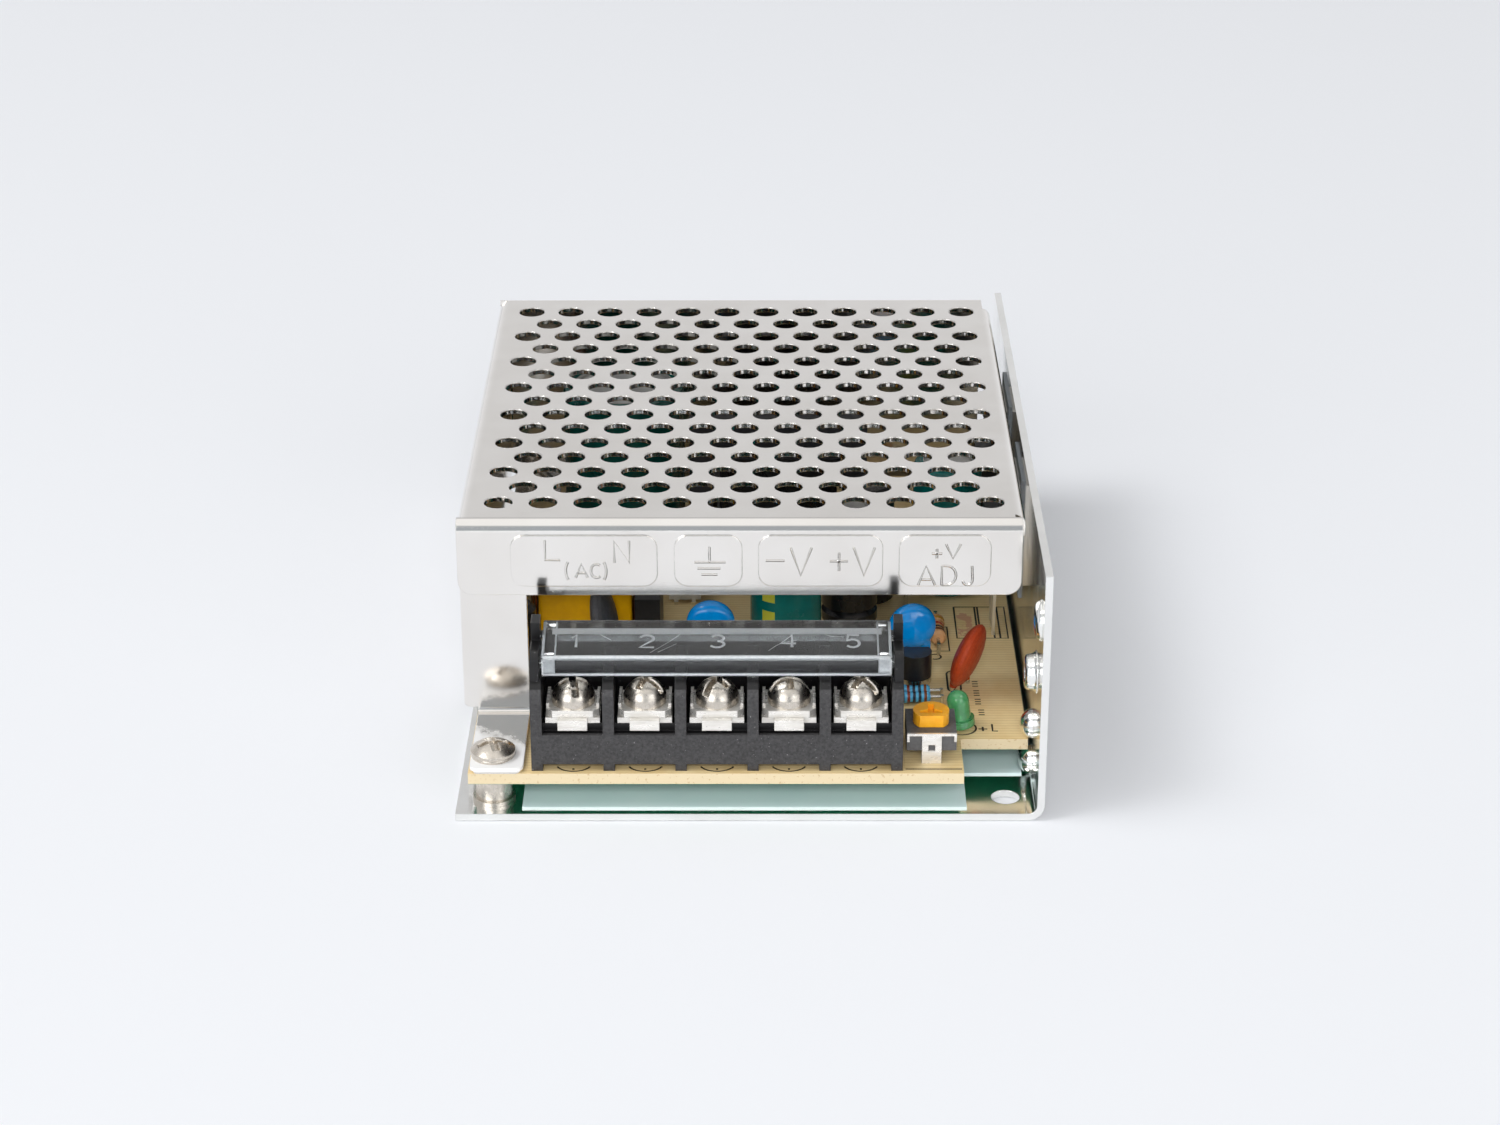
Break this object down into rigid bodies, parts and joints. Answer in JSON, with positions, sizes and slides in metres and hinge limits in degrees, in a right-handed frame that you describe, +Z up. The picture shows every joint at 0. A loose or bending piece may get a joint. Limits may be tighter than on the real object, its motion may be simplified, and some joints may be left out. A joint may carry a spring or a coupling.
{
  "type": "power supply",
  "caption": "Open-ended switching power supply: folded chassis, perforated cover, circuit board, and a screw terminal block under a clear hinged lid",
  "frame": {"origin": "bottom centre of the bounding box", "axes": "+X to the right seen from the terminals, +Y from the terminals to the back, +Z up"},
  "size_m": [0.078, 0.105, 0.036],
  "materials": {
    "chassis_aluminium": "bright rolled sheet",
    "cover_metal": "bright plated sheet",
    "plated_steel": "nickel plate",
    "insulating_film": "smooth",
    "circuit_board": "satin paper laminate",
    "black_plastic": "satin moulding",
    "grey_plastic": "satin",
    "clear_plastic": "clear moulding",
    "orange_plastic": "gloss",
    "green_lens": "gloss tinted resin",
    "yellow_plastic": "gloss",
    "black_sleeve": "gloss shrink sleeve",
    "green_sleeve": "gloss shrink sleeve",
    "dark_ferrite": "matt ground ferrite",
    "copper_wire": "enamelled",
    "grey_pad": "matt",
    "blue_epoxy": "gloss dipped coating",
    "brown_epoxy": "satin dipped coating",
    "blue_lacquer": "gloss lacquer",
    "tan_lacquer": "gloss lacquer",
    "white_plastic": "satin"
  },
  "bodies": {
    "case": {"chassis": "chassis_aluminium", "cover": "cover_metal", "insulating_film": "insulating_film", "circuit_board": "circuit_board", "board_pillars": "plated_steel", "board_screws": "plated_steel", "terminal_block": "black_plastic", "terminal_contacts": "plated_steel", "trimmer_body": "grey_plastic", "trimmer_legs": "plated_steel", "indicator_led": "green_lens", "x_capacitor": "yellow_plastic", "thermistor": "grey_plastic", "sleeved_fuse": "black_sleeve", "line_choke_core": "dark_ferrite", "line_choke_windings": "copper_wire", "bridge_rectifier": "black_plastic", "bulk_capacitor": "green_sleeve", "transformer_core": "dark_ferrite", "transformer_bobbin": "black_plastic", "transformer_winding": "black_sleeve", "switching_transistor": "black_plastic", "output_rectifier": "black_plastic", "device_pads": "grey_pad", "device_screws": "plated_steel", "front_output_capacitor": "green_sleeve", "rear_output_capacitor": "green_sleeve", "black_capacitor": "black_sleeve", "output_choke": "black_sleeve", "left_disc_capacitor": "blue_epoxy", "right_disc_capacitor": "blue_epoxy", "ceramic_capacitor": "brown_epoxy", "reference_transistor": "black_plastic", "film_resistors": "blue_lacquer", "carbon_resistors": "tan_lacquer", "optocoupler": "white_plastic", "control_chip": "black_plastic", "clamp_diodes": "black_plastic"},
    "lid": {"terminal_lid": "clear_plastic"},
    "rotor": {"trimmer_rotor": "orange_plastic"},
    "clamp_1": {"clamp_plate_1": "plated_steel"},
    "screw_1": {"terminal_screw_1": "plated_steel"},
    "clamp_2": {"clamp_plate_2": "plated_steel"},
    "screw_2": {"terminal_screw_2": "plated_steel"},
    "clamp_3": {"clamp_plate_3": "plated_steel"},
    "screw_3": {"terminal_screw_3": "plated_steel"},
    "clamp_4": {"clamp_plate_4": "plated_steel"},
    "screw_4": {"terminal_screw_4": "plated_steel"},
    "clamp_5": {"clamp_plate_5": "plated_steel"},
    "screw_5": {"terminal_screw_5": "plated_steel"}
  },
  "joints": [
    {"name": "lid_hinge", "type": "hinge", "parent": "case", "child": "lid", "pos_m": [-0.0043, -0.04335, 0.0228], "axis": [-1, 0, 0], "range_deg": [0, 105]},
    {"name": "trimmer_turn", "type": "hinge", "parent": "case", "child": "rotor", "pos_m": [0.0241, -0.0452, 0.011], "axis": [0, 0, 1], "range_deg": [-120, 120]},
    {"name": "clamp_1_lift", "type": "slide", "parent": "case", "child": "clamp_1", "axis": [0, 0, 1], "range_m": [0, 0.0018]},
    {"name": "screw_1_turn", "type": "hinge", "parent": "clamp_1", "child": "screw_1", "pos_m": [-0.0233, -0.0465, 0.01382], "axis": [0, 0, 1], "range_deg": [0, 1080]},
    {"name": "clamp_2_lift", "type": "slide", "parent": "case", "child": "clamp_2", "axis": [0, 0, 1], "range_m": [0, 0.0018]},
    {"name": "screw_2_turn", "type": "hinge", "parent": "clamp_2", "child": "screw_2", "pos_m": [-0.0138, -0.0465, 0.01382], "axis": [0, 0, 1], "range_deg": [0, 1080]},
    {"name": "clamp_3_lift", "type": "slide", "parent": "case", "child": "clamp_3", "axis": [0, 0, 1], "range_m": [0, 0.0018]},
    {"name": "screw_3_turn", "type": "hinge", "parent": "clamp_3", "child": "screw_3", "pos_m": [-0.0043, -0.0465, 0.01382], "axis": [0, 0, 1], "range_deg": [0, 1080]},
    {"name": "clamp_4_lift", "type": "slide", "parent": "case", "child": "clamp_4", "axis": [0, 0, 1], "range_m": [0, 0.0018]},
    {"name": "screw_4_turn", "type": "hinge", "parent": "clamp_4", "child": "screw_4", "pos_m": [0.0052, -0.0465, 0.01382], "axis": [0, 0, 1], "range_deg": [0, 1080]},
    {"name": "clamp_5_lift", "type": "slide", "parent": "case", "child": "clamp_5", "axis": [0, 0, 1], "range_m": [0, 0.0018]},
    {"name": "screw_5_turn", "type": "hinge", "parent": "clamp_5", "child": "screw_5", "pos_m": [0.0147, -0.0465, 0.01382], "axis": [0, 0, 1], "range_deg": [0, 1080]}
  ],
  "couplings": [
    {"joint": "screw_1_turn", "follows": "clamp_1_lift", "rad_per_m": 10451},
    {"joint": "screw_2_turn", "follows": "clamp_2_lift", "rad_per_m": 10451},
    {"joint": "screw_3_turn", "follows": "clamp_3_lift", "rad_per_m": 10451},
    {"joint": "screw_4_turn", "follows": "clamp_4_lift", "rad_per_m": 10451},
    {"joint": "screw_5_turn", "follows": "clamp_5_lift", "rad_per_m": 10451}
  ]
}
